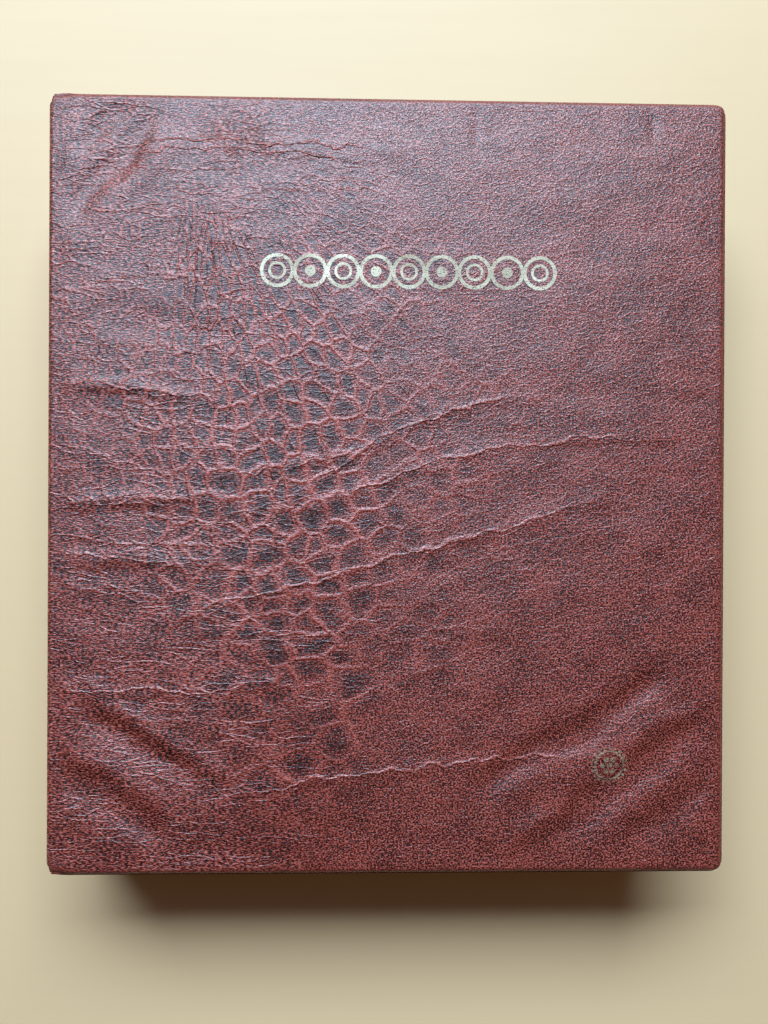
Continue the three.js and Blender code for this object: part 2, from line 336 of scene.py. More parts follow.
def crease_lines(graph, plan):
    """All the long creases, each thin and a little unsteady."""
    wander = graph.times_plus(graph.noise(plan, 0.09, 3.0), 9.0, -4.5)
    swell = graph.step(graph.noise(plan, 0.16, 1.0), 0.3, 0.7, 0.5, 1.5)
    crease = 0.0
    for first, second, third, width in CREASES:
        rise, slope, bend = parabola(first, second, third)
        line = graph.group(
            "long_crease", Plan=plan, Wander=wander, Rise=rise, Slope=slope, Bend=bend,
            Start=first[0], End=third[0], Width=graph.times(swell, width * 0.55))
        crease = graph.most(crease, line["Line"])
    return crease


def vinyl_speckle(graph, plan, side):
    """Dark printed speckle, drawn out across the cover beside the spine and even towards the fore-edge."""
    drawn = graph.noise(graph.place(plan, (0.8, 2.2, 1.0)), 1.0, 1.5, 0.6)
    even = graph.noise(graph.place(plan, (1.55, 1.75, 1.0)), 1.0, 1.5, 0.6)
    return graph.times_plus(graph.math("SUBTRACT", even, drawn), side, drawn)


def line_masks(graph, plan, side, cloud):
    """A mask of each kind of line in the vinyl and of all but the fine ones, and the large cells' print."""
    in_field = field_mask(graph, plan, graph.noise(plan, 0.045, 3.0))
    streaky = graph.noise(graph.place(plan, (0.035, 0.12, 1.0)), 1.0, 3.0, 0.6)
    tilted = graph.place(plan, (1, 1, 1), -0.35)
    fan = fan_plan(graph, plan)
    fine = graph.group("wrinkle_net", Plan=plan, Size=(1.7, 0.75, 1.0), Warp=1.8, Line=0.2, Spread=1.0)
    middle = graph.group("wrinkle_net", Plan=plan, Size=(9.0, 2.9, 1.0), Warp=2.4, Line=0.16, Spread=1.0)
    small = graph.group("wrinkle_net", Plan=tilted, Size=(4.6, 2.7, 1.0), Warp=2.2, Line=0.17, Spread=1.0)
    large = graph.group("wrinkle_net", Plan=fan, Size=(6.6, 8.5, 1.0), Warp=1.1, Line=0.14, Spread=0.8)
    streaks = graph.times(middle["Lines"], graph.step(streaky, 0.38, 0.62, 0.1, 1.0))
    masks = {
        "fine": fine["Lines"],
        "middle": graph.times(streaks, graph.times_plus(side, -0.7, 1.0)),
        "small": graph.times(small["Lines"], graph.times_plus(side, 0.4, 0.25)),
        "large": graph.times(graph.most(large["Lines"], fan_rays(graph, fan, cloud)), in_field),
        "crease": crease_lines(graph, plan),
    }
    nets = graph.most(graph.most(masks["middle"], masks["small"]), masks["large"])
    masks["all"] = graph.most(nets, masks["crease"])
    return masks, graph.times(graph.math("SUBTRACT", large["Cells"], 0.3), in_field)


def leatherette_colour(graph, masks, depth, dark, rim):
    """The main tone with lighter lines and painted glints, under the dark print, which fades on the rolled
    edge. The lines are partly a lighter tone of the vinyl and partly painted highlight.
    """
    tones = colours()
    # Painted highlight: raised spots of grain are lightened in the colour as glints.
    painted_glint = graph.step(depth, -0.03, -0.12)
    # The lighter lines and creases are partly a lighter tone of the vinyl and partly painted highlight.
    raised = graph.most(graph.times(painted_glint, 0.8), graph.times(masks["all"], 0.35))
    raised = graph.most(graph.times(masks["fine"], 0.2), raised)
    raised = graph.most(raised, graph.times(masks["crease"], 0.8))
    body = graph.mix(raised, tones.vinyl_mid, tones.vinyl_light_and_glint)
    body = graph.mix(graph.times(dark, 0.96), body, tones.vinyl_dark)
    plain = graph.mix(graph.times(dark, 0.5), tones.vinyl_mid, tones.vinyl_dark)
    return graph.mix(graph.times(rim, 0.75), body, plain)


# How high each kind of line stands in the embossing, as a share of a millimetre.
LINE_HEIGHTS = {"fine": 0.03, "middle": 0.14, "small": 0.08, "large": 0.2, "crease": 0.2}
SPECKLE_DEPTH = -0.18


def leatherette_relief(graph, masks, speckle, rim):
    """Height of the embossing, with raised lines and sunk speckle, calmer on the rolled edge."""
    relief = graph.times(speckle, SPECKLE_DEPTH)
    for kind, height in LINE_HEIGHTS.items():
        relief = graph.times_plus(masks[kind], height, relief)
    return graph.times(relief, graph.times_plus(rim, -0.7, 1.0))


def make_leatherette():
    """Printed and embossed vinyl: fine grain, drawn-out wrinkles, a fan of large cells and long creases."""
    material, graph, shader = new_material("wrinkled_leatherette", Specular_IOR_Level=0.74)
    plan = graph.place(graph.add("ShaderNodeUVMap", uv_map="plan").outputs[0], (1000, 1000, 1000))
    side = graph.step(graph.add("ShaderNodeSeparateXYZ", {0: plan}).outputs["X"], 50.0, 130.0)
    cloud = graph.noise(plan, 0.07, 4.0, 0.6)
    masks, cell_print = line_masks(graph, plan, side, cloud)
    speckle = vinyl_speckle(graph, plan, side)
    cloudy = graph.step(cloud, 0.34, 0.66, 0.52, 0.48)
    dark_level = graph.times_plus(cell_print, -0.11, graph.times_plus(masks["all"], 0.04, cloudy))
    depth = graph.math("SUBTRACT", speckle, dark_level)
    dark = graph.step(depth, -0.02, 0.015)
    rim = graph.add("ShaderNodeAttribute", attribute_name="rim").outputs["Fac"]
    graph.feed(shader.inputs["Base Color"], leatherette_colour(graph, masks, depth, dark, rim))
    rough = graph.times_plus(rim, 0.2, graph.times_plus(dark, 0.06, 0.34))
    graph.feed(shader.inputs["Roughness"], rough)
    bump(graph, shader, leatherette_relief(graph, masks, speckle, rim), 1.0 * MM)
    return material


def make_lining():
    """Smooth dark vinyl with a faint pressed grain and cloudy wear."""
    material, graph, shader = new_material("lining_vinyl", Specular_IOR_Level=0.5)
    place = graph.add("ShaderNodeTexCoord").outputs["Object"]
    plan = graph.place(place, (1000, 1000, 1000))
    net = graph.group("wrinkle_net", Plan=plan, Size=(0.9, 0.8, 1.0), Warp=1.2, Line=0.2, Spread=1.0)
    wear = graph.group("handling_wear", Place=place, Scratch=0.4, Cloud=1.0)
    tone = graph.mix(graph.times(wear["Clouds"], 0.35), colours().lining, (0.15, 0.03, 0.03))
    grained = graph.mix(graph.times(net["Lines"], 0.3), tone, (0.05, 0.008, 0.008))
    graph.feed(shader.inputs["Base Color"], grained)
    graph.feed(shader.inputs["Roughness"], graph.times_plus(wear["Scratches"], 0.2, 0.34))
    bump(graph, shader, net["Cells"], 0.05 * MM, 0.6)
    return material


def make_plain(name, tone, dark, rough, grain_scale, bump_depth):
    """A matt material with clouded colour and a fibrous or cellular surface."""
    material, graph, shader = new_material(name)
    place = graph.add("ShaderNodeTexCoord").outputs["Object"]
    fibre = graph.noise(place, grain_scale, 5.0, 0.7)
    cloud = graph.noise(place, grain_scale / 18, 3.0)
    speck = graph.mix(graph.step(fibre, 0.35, 0.7), dark, tone)
    graph.feed(shader.inputs["Base Color"], graph.mix(graph.times(cloud, 0.3), speck, dark))
    graph.feed(shader.inputs["Roughness"], graph.times_plus(fibre, 0.1, rough))
    bump(graph, shader, fibre, bump_depth, 0.6)
    return material


def make_metal(name, tone, rough, scratch, cloud_share, dull):
    """Plated or struck metal with handling scratches and dull clouds."""
    material, graph, shader = new_material(name, Metallic=1.0)
    place = graph.add("ShaderNodeTexCoord").outputs["Object"]
    wear = graph.group("handling_wear", Place=place, Scratch=scratch, Cloud=1.0)
    worn = graph.times(wear["Clouds"], cloud_share)
    graph.feed(shader.inputs["Base Color"], graph.mix(worn, tone, dull))
    rising = graph.times_plus(wear["Clouds"], 0.12, rough)
    graph.feed(shader.inputs["Roughness"], graph.times_plus(wear["Scratches"], 0.18, rising))
    bump(graph, shader, wear["Scratches"], 0.01 * MM, 0.5)
    return material


def make_foil(name, gone, kept):
    """Hot-stamped foil that has worn off along the grain; gone and kept are the levels of wear."""
    tones = colours()
    material, graph, shader = new_material(name, Metallic=0.35)
    place = graph.add("ShaderNodeTexCoord").outputs["Object"]
    wear = graph.group("handling_wear", Place=place, Scratch=0.5, Cloud=1.0)
    fleck = graph.noise(graph.place(place, (1100, 1700, 1)), 1.0, 3.0, 0.8)
    patch = graph.noise(place, 220.0, 2.0)
    left = graph.math("ADD", fleck, graph.times(patch, 0.25))
    graph.feed(shader.inputs["Base Color"], graph.mix(wear["Clouds"], tones.foil, (0.50, 0.44, 0.30)))
    graph.feed(shader.inputs["Alpha"], graph.step(left, gone, kept, 0.08, 0.92))
    graph.feed(shader.inputs["Roughness"], graph.times_plus(wear["Scratches"], 0.2, 0.42))
    bump(graph, shader, fleck, 0.03 * MM, 0.5)
    return material


def make_film():
    """Clear soft pocket film: mostly seen through, with a shine and fine scuffs."""
    material, graph, shader = new_material("pocket_film", Specular_IOR_Level=0.6)
    place = graph.add("ShaderNodeTexCoord").outputs["Object"]
    wear = graph.group("handling_wear", Place=place, Scratch=0.7, Cloud=1.0)
    graph.feed(shader.inputs["Base Color"], graph.mix(wear["Clouds"], colours().film, (0.70, 0.75, 0.78)))
    weld = graph.add("ShaderNodeAttribute", attribute_name="weld").outputs["Fac"]
    haze = graph.times_plus(wear["Scratches"], 0.12, 0.13)
    graph.feed(shader.inputs["Alpha"], graph.times_plus(weld, 0.4, haze))
    graph.feed(shader.inputs["Roughness"], graph.times_plus(wear["Clouds"], 0.12, 0.14))
    bump(graph, shader, wear["Clouds"], 0.2 * MM, 0.3)
    return material


def make_floor_material():
    material, graph, shader = new_material("pale_floor")
    place = graph.add("ShaderNodeTexCoord").outputs["Object"]
    grain = graph.noise(graph.place(place, (9, 220, 9)), 1.0, 4.0, 0.6)
    tone = graph.mix(graph.times(grain, 0.3), colours().floor, (0.85, 0.67, 0.42))
    graph.feed(shader.inputs["Base Color"], tone)
    graph.feed(shader.inputs["Roughness"], graph.times_plus(grain, 0.1, 0.5))
    return material


MATERIAL_MAKERS = {
    "wrinkled_leatherette": make_leatherette,
    "lining_vinyl": make_lining,
    "foam_sheet": lambda: make_plain(
        "foam_sheet", colours().foam, (0.5, 0.44, 0.33), 0.85, 2500.0, 0.2 * MM),
    "grey_board": lambda: make_plain(
        "grey_board", colours().board, (0.15, 0.14, 0.12), 0.85, 1400.0, 0.06 * MM),
    "nickel_plate": lambda: make_metal(
        "nickel_plate", colours().nickel, 0.16, 0.8, 0.35, (0.42, 0.41, 0.38)),
    "silver_coin": lambda: make_metal(
        "silver_coin", colours().silver, 0.26, 0.7, 0.6, (0.30, 0.29, 0.27)),
    "brass_coin": lambda: make_metal(
        "brass_coin", colours().brass, 0.28, 0.7, 0.6, (0.28, 0.19, 0.08)),
    "copper_coin": lambda: make_metal(
        "copper_coin", colours().copper, 0.3, 0.7, 0.7, (0.16, 0.07, 0.045)),
    "stamped_foil": lambda: make_foil("stamped_foil", 0.50, 0.60),
    "rubbed_foil": lambda: make_foil("rubbed_foil", 0.58, 0.70),
    "pocket_film": make_film,
    "pale_floor": make_floor_material,
}


def material(name):
    if not bpy.data.node_groups.get("wrinkle_net"):
        make_wrinkle_group()
        make_crease_group()
        make_wear_group()
    return bpy.data.materials.get(name) or MATERIAL_MAKERS[name]()


# ---- mesh helpers ----
SHARP_ANGLE = math.radians(38)


def finish_piece(name, mesh_data, body, *, finishes, replaces=(), modifiers=(), smooth=True):
    """Turns a bmesh into a named object that rides on a body, or on none if body is None."""
    mesh = bpy.data.meshes.new(name)
    mesh_data.to_mesh(mesh)
    mesh_data.free()
    if smooth:
        mesh.shade_smooth()
    else:
        mesh.shade_flat()
    mesh.set_sharp_from_angle(angle=SHARP_ANGLE)
    piece = bpy.data.objects.new(name, mesh)
    bpy.context.scene.collection.objects.link(piece)
    for finish in finishes:
        mesh.materials.append(material(finish))
    for kind, settings in modifiers:
        modifier = piece.modifiers.new(kind.lower(), kind)
        for key, value in settings.items():
            setattr(modifier, key, value)
    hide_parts(*replaces)
    if body:
        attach(piece, body)
    return piece


def soft_edges(width, segments=2):
    return ("BEVEL", {"width": width, "segments": segments, "limit_method": "ANGLE", "profile": 0.5})


def thicken(amount, offset, even=True):
    """Gives a sheet its thickness. Sheets that bend at a joint are thickened without the even offset."""
    return ("SOLIDIFY", {"thickness": amount, "offset": offset, "use_even_offset": even})


def smoothstep(low, high, value):
    t = min(max((value - low) / (high - low), 0.0), 1.0)
    return t * t * (3 - 2 * t)


def even_steps(start, end, step):
    """Stops from start to end about a step apart, the end left out."""
    count = max(1, round(abs(end - start) / step))
    return [start + (end - start) * i / count for i in range(count)]


def bordered_steps(half, border, fine, step):
    """Stops from -half to half, closer together along both borders."""
    inner = half - border
    stops = even_steps(-half, -inner, fine) + even_steps(-inner, inner, step)
    return stops + even_steps(inner, half, fine) + [half]


def stop_grid(columns, rows):
    """A grid whose vertices stand at every pair of stops, with the stops as x and y."""
    mesh = bmesh.new()
    bmesh.ops.create_grid(mesh, x_segments=len(columns) - 1, y_segments=len(rows) - 1, size=1)
    for vertex in mesh.verts:
        column = round((vertex.co.x + 1) / 2 * (len(columns) - 1))
        row = round((vertex.co.y + 1) / 2 * (len(rows) - 1))
        vertex.co = Vector((columns[column], rows[row], 0))
    return mesh


def cut_at_rings(mesh, half_slot, reached):
    """Deletes the faces beside each ring whose centre is at an x that the ring's slot reaches."""
    holes = []
    for face in mesh.faces:
        centre = face.calc_center_median()
        if min(abs(centre.y - y) for y in RING_YS) < half_slot and reached(centre.x):
            holes.append(face)
    bmesh.ops.delete(mesh, geom=holes, context="FACES")


def sweep_wire(mesh, points, radius, sides):
    """A round wire through points that lie in one plane across Y, closed at both ends."""
    def section(index):
        before = points[max(index - 1, 0)]
        after = points[min(index + 1, len(points) - 1)]
        heading = (after - before).normalized()
        across = Vector((0, 1, 0))
        axes = Matrix((across, heading.cross(across), heading)).transposed().to_4x4()
        return Matrix.Translation(points[index]) @ axes
    ring = bmesh.ops.create_circle(mesh, radius=radius, segments=sides, matrix=section(0))["verts"]
    edges = list({edge for vertex in ring for edge in vertex.link_edges})
    first, made = edges, list(ring)
    for index in range(1, len(points)):
        grown = bmesh.ops.extrude_edge_only(mesh, edges=edges)["geom"]
        ring = [item for item in grown if isinstance(item, bmesh.types.BMVert)]
        edges = [item for item in grown if isinstance(item, bmesh.types.BMEdge)
                 and all(vertex in ring for vertex in item.verts)]
        bmesh.ops.transform(mesh, matrix=section(index) @ section(index - 1).inverted(), verts=ring)
        made += ring
    caps = bmesh.ops.edgeloop_fill(mesh, edges=first)["faces"]
    caps += bmesh.ops.edgeloop_fill(mesh, edges=edges)["faces"]
    faces = list({face for vertex in made for face in vertex.link_faces} | set(caps))
    bmesh.ops.recalc_face_normals(mesh, faces=faces)
    return made


def spin_profile(mesh, profile, centre, axis, side, segments):
    """Spins a profile of (radius, height) pairs, drawn towards side, round an axis through centre."""
    verts = [mesh.verts.new(centre + side * radius + axis * height) for radius, height in profile]
    edges = [mesh.edges.new(pair) for pair in zip(verts, verts[1:])]
    bmesh.ops.spin(mesh, geom=verts + edges, cent=centre, axis=axis, dvec=(0, 0, 0), angle=math.tau,
                   steps=segments, use_merge=True)


def turned_profile(mesh, profile, centre, axis, segments):
    """A closed turned piece, made from a profile that starts and ends on its axis."""
    spin_profile(mesh, profile, centre, axis, axis.orthogonal().normalized(), segments)
    bmesh.ops.remove_doubles(mesh, verts=mesh.verts, dist=1e-6)
    bmesh.ops.recalc_face_normals(mesh, faces=mesh.faces)


# ---- the padded surface ----
# Soft folds pressed into the padding, in millimetres across from the spine and up from the middle:
# where each starts and ends, its width and its depth (below 0) or height.
FOLDS = [
    ((6, 90), (38, 131), 4.5, -0.75),
    ((8, 116), (30, 136), 3.5, -0.7),
    ((16, 92), (46, 122), 5.0, 0.35),
    ((2, 106), (14, 126), 4.0, 0.3),
    ((10, -77), (56, -104), 4.5, -0.75),
    ((1, -97), (44, -124), 5.0, -0.9),
    ((14, -72), (68, -106), 3.5, 0.4),
    ((4, -90), (46, -114), 4.0, 0.4),
    ((148, -107), (192, -84), 4.5, -0.75),
    ((176, -124), (228, -84), 5.5, -1.0),
    ((185, -89), (218, -65), 4.5, -0.7),
    ((158, -128), (188, -111), 4.0, 0.4),
    ((200, -94), (230, -77), 4.0, 0.45),
    ((205, -126), (232, -104), 5.0, -0.6),
    ((150, 138), (150, 116), 1.6, -0.25),
    ((211, 137), (211, 121), 1.6, -0.2),
    ((2, 36), (56, 30), 2.6, 0.28),
    ((2, -6), (58, -4), 2.6, 0.28),
    ((2, -23), (50, -28), 2.4, 0.25),
    ((10, 60), (70, 52), 4.0, -0.2),
]
FOLD_WANDER = 3.0
FOLD_GAIN = 1.8
DEEPEST_FOLD = -1.0


def fold_height(across, up):
    """Height in millimetres of all the folds at a place given in millimetres."""
    wander = noise.noise(Vector((across / 18, up / 18, 3.1))) * FOLD_WANDER
    total = 0.0
    for (x0, y0), (x1, y1), width, height in FOLDS:
        run_x, run_y = x1 - x0, y1 - y0
        run = math.hypot(run_x, run_y)
        along = ((across - x0) * run_x + (up - y0) * run_y) / run
        aside = ((up - y0) * run_x - (across - x0) * run_y) / run + wander
        reach = width * 3
        if abs(aside) > reach or along < -reach or along > run + reach:
            continue
        ends = smoothstep(-width, run * 0.3, along) * smoothstep(-width, run * 0.3, run - along)
        total += FOLD_GAIN * height * ends * math.exp(-(aside / width) ** 2)
    for first, second, third, width in CREASES:
        if first[0] - 5 < across < third[0] + 5:
            rise, slope, bend = parabola(first, second, third)
            aside = up - (rise + slope * across + bend * across * across)
            total += 0.2 * math.exp(-(aside / (width * 1.4)) ** 2)
    ripple = noise.fractal(Vector((across / 26, up / 12, 0.4)), 0.8, 2.0, 3)
    total += 0.22 * ripple
    return max(total, DEEPEST_FOLD + 0.2 * (total - DEEPEST_FOLD))


def round_corner(x, y):
    """Draws a place near a fore-edge corner in to the corner's round."""
    corner = sizes().corner
    inset_x, inset_y = x - (FORE - corner), abs(y) - (HEAD - corner)
    if inset_x <= 0 or inset_y <= 0:
        return x, y
    shrink = max(inset_x, inset_y) / math.hypot(inset_x, inset_y)
    return FORE - corner + inset_x * shrink, math.copysign(HEAD - corner + inset_y * shrink, y)


def skin_place(run, y):
    """Point, outward normal, edge distance, place in millimetres and distance from the corner's bend,
    of one spot on the skin. run is the length along the skin from the middle of the spine, over the
    corner, to the fore-edge."""
    beyond = run - SPINE_RISE - ARC_LENGTH
    edge = HEAD - abs(y)
    from_hinge = min(abs(run - SPINE_RISE), abs(beyond))
    if run < SPINE_RISE:
        point, normal = Vector((SPINE_OUT, y, MIDDLE + run)), Vector((-1, 0, 0))
    elif beyond < 0:
        angle = math.pi - (run - SPINE_RISE) / ARC_RADIUS
        normal = Vector((math.cos(angle), 0, math.sin(angle)))
        point = Vector((HINGE.x, y, HINGE.z)) + normal * ARC_RADIUS
        from_hinge = 0
    else:
        x, normal = HINGE.x + beyond, Vector((0, 0, 1))
        edge = min(FORE - x, edge)
        x, y = round_corner(x, y)
        point = Vector((x, y, TOP))
    return point, normal, edge, (beyond + ARC_RADIUS) / MM, y / MM, from_hinge


EDGE_DROP = 4.05 * MM
HINGE_DROP = 0.7 * MM
COVER_NOTCH = 1.9 * MM
SPINE_NOTCH = 3.4 * MM


def edge_drop(edge, from_hinge):
    """How far the skin rolls inward at a distance from its edge; it stays shallow beside the hinge."""
    given = sizes()
    depth = HINGE_DROP + (EDGE_DROP - HINGE_DROP) * smoothstep(2 * MM, 8 * MM, from_hinge)
    t = min(max((edge - given.flange) / given.roll, 0.0), 1.0)
    return depth * (1 - math.sqrt(1 - (1 - t) ** 2))


def notched(y, from_hinge, on_cover_side, extra=0.0):
    """Draws the ends of a sheet in beside the hinge, more on the spine than on the cover."""
    notch = (COVER_NOTCH if on_cover_side else SPINE_NOTCH) + extra
    pull = notch * (1 - smoothstep(1 * MM, 8 * MM, from_hinge))
    return math.copysign(abs(y) - pull * smoothstep(HEAD - 14 * MM, HEAD, abs(y)), y)


def skin_lift(edge, across, up, from_hinge, rear):
    """Height of the skin over the flat face, in metres."""
    fade = smoothstep(1.0 * MM, 9 * MM, edge) * smoothstep(0, 7 * MM, from_hinge)
    if rear:
        soft = -abs(noise.noise(Vector((across / 30, up / 30, 7.0)))) * 0.12 * MM
    else:
        crown = sizes().crown * smoothstep(0, 40 * MM, edge)
        soft = crown + fold_height(across, up) * MM
    return soft * fade - edge_drop(edge, from_hinge)


def skin_stops():
    """Stops along and across the skin, closer together at the corner arc and the rolled edges."""
    given = sizes()
    step, border = given.grid_step, given.flange + given.roll
    end = SPINE_RISE + ARC_LENGTH + FORE - HINGE.x
    fine = border / 9
    runs = even_steps(0, SPINE_RISE, step)
    runs += even_steps(SPINE_RISE, SPINE_RISE + ARC_LENGTH, ARC_LENGTH / 8)
    runs += even_steps(SPINE_RISE + ARC_LENGTH, end - border, step)
    runs += even_steps(end - border, end, fine) + [end]
    return runs, bordered_steps(HEAD, border, fine, step)


def turn_to_rear(mesh):
    """Mirrors a front piece to the back cover."""
    bmesh.ops.scale(mesh, vec=(1, 1, -1), verts=mesh.verts)
    bmesh.ops.translate(mesh, vec=(0, 0, TOP), verts=mesh.verts)
    bmesh.ops.reverse_faces(mesh, faces=mesh.faces)


def build_skin(name, rear, covers):
    runs, ups = skin_stops()
    mesh = stop_grid(runs, ups)
    plan = mesh.loops.layers.uv.new("plan")
    rim = mesh.verts.layers.float.new("rim")
    corner_run = SPINE_RISE + ARC_LENGTH - ARC_RADIUS
    for face in mesh.faces:
        for loop in face.loops:
            run, y = loop.vert.co.x, loop.vert.co.y
            loop[plan].uv = ((-run if rear else run) - corner_run, y)
    for vertex in mesh.verts:
        on_cover_side = vertex.co.x > SPINE_RISE + ARC_LENGTH * 0.9
        point, normal, edge, across, up, from_hinge = skin_place(vertex.co.x, vertex.co.y)
        vertex.co = point + normal * skin_lift(edge, across, up, from_hinge, rear)
        vertex.co.y = notched(vertex.co.y, from_hinge, on_cover_side)
        vertex[rim] = 1 - smoothstep(1.5 * MM, 4.6 * MM, edge)
    bmesh.ops.recalc_face_normals(mesh, faces=mesh.faces)
    if mesh.faces[0].normal.x > 0:
        bmesh.ops.reverse_faces(mesh, faces=mesh.faces)
    if rear:
        turn_to_rear(mesh)
    skin = finish_piece(name, mesh, None, finishes=["wrinkled_leatherette"],
                        replaces=covers, modifiers=[thicken(sizes().vinyl, -1, even=False)])
    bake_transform(skin)


def lining_path():
    """The lining seen along Y: up the spine, out to the welded corner, back and across the cover."""
    level = LINING_LEVEL + sizes().lining / 2
    inner = ARC_RADIUS - 1.05 * MM
    corners = [Vector((SPINE_IN - sizes().lining / 2, 0, 37.6 * MM))]
    corners.append(Vector((SPINE_IN - 0.5 * MM, 0, 39.4 * MM)))
    corners.append(Vector((HINGE.x - inner, 0, 40.8 * MM)))
    for turn in (180, 157, 135, 113, 90):
        angle = math.radians(turn)
        corners.append(HINGE + Vector((math.cos(angle), 0, math.sin(angle))) * inner)
    corners.append(Vector((COVER_LOW.x - 0.6 * MM, 0, HINGE.z + inner)))
    corners.append(Vector((COVER_LOW.x + 1.3 * MM, 0, level + 0.4 * MM)))
    corners.append(Vector((COVER_LOW.x + 3.2 * MM, 0, level)))
    return corners


def rounded(points, passes=2):
    """Cuts the corners of a polyline so that it runs smoothly."""
    for _ in range(passes):
        cut = [points[0]]
        for a, b in zip(points, points[1:]):
            cut += [a.lerp(b, 0.25), a.lerp(b, 0.75)]
        points = cut + [points[-1]]
    return points


LINING_BORDER = 5 * MM
LINING_STEP = 6 * MM
LINING_BORDER_STEP = 0.6 * MM
LINING_NOTCH = 0.6 * MM


def lining_route():
    """The lining seen along Y, from the middle of the spine to the fore-edge."""
    start = Vector((SPINE_IN - sizes().lining / 2, 0, MIDDLE))
    bend = rounded(lining_path())
    last = bend[-1]
    border = FORE - LINING_BORDER
    stops = even_steps(last.x, border, LINING_STEP)[1:]
    stops += even_steps(border, FORE, LINING_BORDER_STEP) + [FORE]
    rise = [start.lerp(bend[0], i / 6) for i in range(6)]
    return rise + bend + [Vector((x, 0, last.z)) for x in stops]


def build_lining(name, rear, covers):
    """A quarter of the inside: half the spine and one cover, with the groove where the boards end."""
    route = lining_route()
    ups = bordered_steps(HEAD, LINING_BORDER, LINING_BORDER_STEP, LINING_STEP)
    mesh = stop_grid([float(i) for i in range(len(route))], ups)
    for vertex in mesh.verts:
        point = route[round(vertex.co.x)].copy()
        point.x, point.y = round_corner(point.x, vertex.co.y)
        on_cover_side = point.x - HINGE.x > HINGE.z - point.z
        from_hinge = max(point.x - HINGE.x, HINGE.z - point.z, 0)
        point.y = notched(point.y, from_hinge, on_cover_side, LINING_NOTCH)
        vertex.co = point
    if rear:
        turn_to_rear(mesh)
    lining = finish_piece(name, mesh, None, finishes=["lining_vinyl"], replaces=covers,
                          modifiers=[thicken(sizes().lining, 0, even=False)])
    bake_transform(lining)


def fold_press(x, y):
    """How far the folds press into the front pad at a place, in metres."""
    across = (x - HINGE.x + ARC_RADIUS) / MM
    return max(0.0, -fold_height(across, y / MM) - 0.1) * MM


PAD_INSET = 1.2 * MM
PAD_STEP = 3 * MM
PAD_THINNEST = 0.15 * MM
PAD_EDGE_SHARE = 0.45


def build_foam(panel):
    """A foam pad in the place of its plain solid, rounded off under the skin's rolled edge.
    The front one is pressed in along the folds."""
    node = f"{panel}_padding"
    low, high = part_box(node)
    size = high - low
    standing = size.x < size.z
    run_low, run_high = (low.z, high.z) if standing else (low.x, high.x - PAD_INSET)
    end = high.y - PAD_INSET
    runs = even_steps(run_low, run_high, PAD_STEP) + [run_high]
    mesh = stop_grid(runs, even_steps(-end, end, PAD_STEP) + [end])
    thick = min(size)
    bmesh.ops.solidify(mesh, geom=mesh.faces[:], thickness=thick)
    levels = sorted(vertex.co.z for vertex in mesh.verts)
    middle = (levels[0] + levels[-1]) / 2
    for vertex in mesh.verts:
        run, y = vertex.co.x, vertex.co.y
        edge = min(end - abs(y), run_high - run if not standing else end)
        thin = thick * (PAD_EDGE_SHARE + (1 - PAD_EDGE_SHARE) * smoothstep(0, 3 * MM, edge))
        press = fold_press(run, y) if panel == "front_cover" else 0
        level = max(thin - press, PAD_THINNEST) if vertex.co.z > middle else 0
        if standing:
            vertex.co = Vector((high.x - level, y, run))
        elif panel == "front_cover":
            vertex.co = Vector((run, y, low.z + level))
        else:
            vertex.co = Vector((run, y, high.z - level))
    bmesh.ops.recalc_face_normals(mesh, faces=mesh.faces)
    pad = finish_piece(f"{panel}_foam_pad", mesh, panel, finishes=["foam_sheet"],
                       replaces=[node])


# ---- foil ornaments ----
def on_cover(across, up):
    """A point on the front cover's surface, from millimetres across and up."""
    run = across * MM - ARC_RADIUS + ARC_LENGTH + SPINE_RISE
    point, normal, edge, across, up, from_hinge = skin_place(run, up * MM)
    return point + normal * (skin_lift(edge, across, up, from_hinge, False) + sizes().foil_lift)


def foil_ring(mesh, centre, outer, inner, sides):
    rings = []
    for radius in (outer, inner):
        circle = bmesh.ops.create_circle(mesh, radius=radius, segments=sides,
                                         matrix=Matrix.Translation((*centre, 0)))["verts"]
        rings += list({edge for vertex in circle for edge in vertex.link_edges})
    bmesh.ops.bridge_loops(mesh, edges=rings)


def foil_dot(mesh, centre, radius, sides, turn=0.0):
    place = Matrix.Translation((*centre, 0)) @ Matrix.Rotation(turn, 4, "Z")
    bmesh.ops.create_circle(mesh, cap_ends=True, radius=radius, segments=sides, matrix=place)


def press_on(name, mesh, finish):
    """Lays flat foil, drawn in millimetres across and up, on the cover."""
    for vertex in mesh.verts:
        vertex.co = on_cover(vertex.co.x, vertex.co.y)
    bmesh.ops.recalc_face_normals(mesh, faces=mesh.faces)
    for face in mesh.faces:
        if face.normal.z < 0:
            face.normal_flip()
    finish_piece(name, mesh, "front_cover", finishes=[finish])


LINE_CENTRE = (125.5, 75.0)
LINE_LENGTH = 104.0
LINE_HEIGHT = 12.0
LINE_COINS = 9
MEDAL_CENTRE = (197.0, -98.0)
MEDAL_RADIUS = 6.8


def build_foil_line():
    """A row of plain coin outlines in place of a title."""
    mesh = bmesh.new()
    radius = LINE_HEIGHT / 2
    pitch = (LINE_LENGTH - LINE_HEIGHT) / (LINE_COINS - 1)
    for i in range(LINE_COINS):
        centre = (LINE_CENTRE[0] + (i - (LINE_COINS - 1) / 2) * pitch, LINE_CENTRE[1])
        foil_ring(mesh, centre, radius, radius - 1.25, 40)
        if i % 2:
            foil_dot(mesh, centre, 1.9, 20)
        else:
            foil_ring(mesh, centre, 3.1, 2.2, 28)
    press_on("foil_coin_row", mesh, "stamped_foil")


def foil_dots_round(mesh, count, reach, radius, sides, turned):
    """Dots in a circle round the middle of the rosette, each turned to face outward or left straight."""
    for i in range(count):
        angle = i * math.tau / count
        centre = (MEDAL_CENTRE[0] + math.cos(angle) * reach, MEDAL_CENTRE[1] + math.sin(angle) * reach)
        foil_dot(mesh, centre, radius, sides, angle if turned else 0.0)


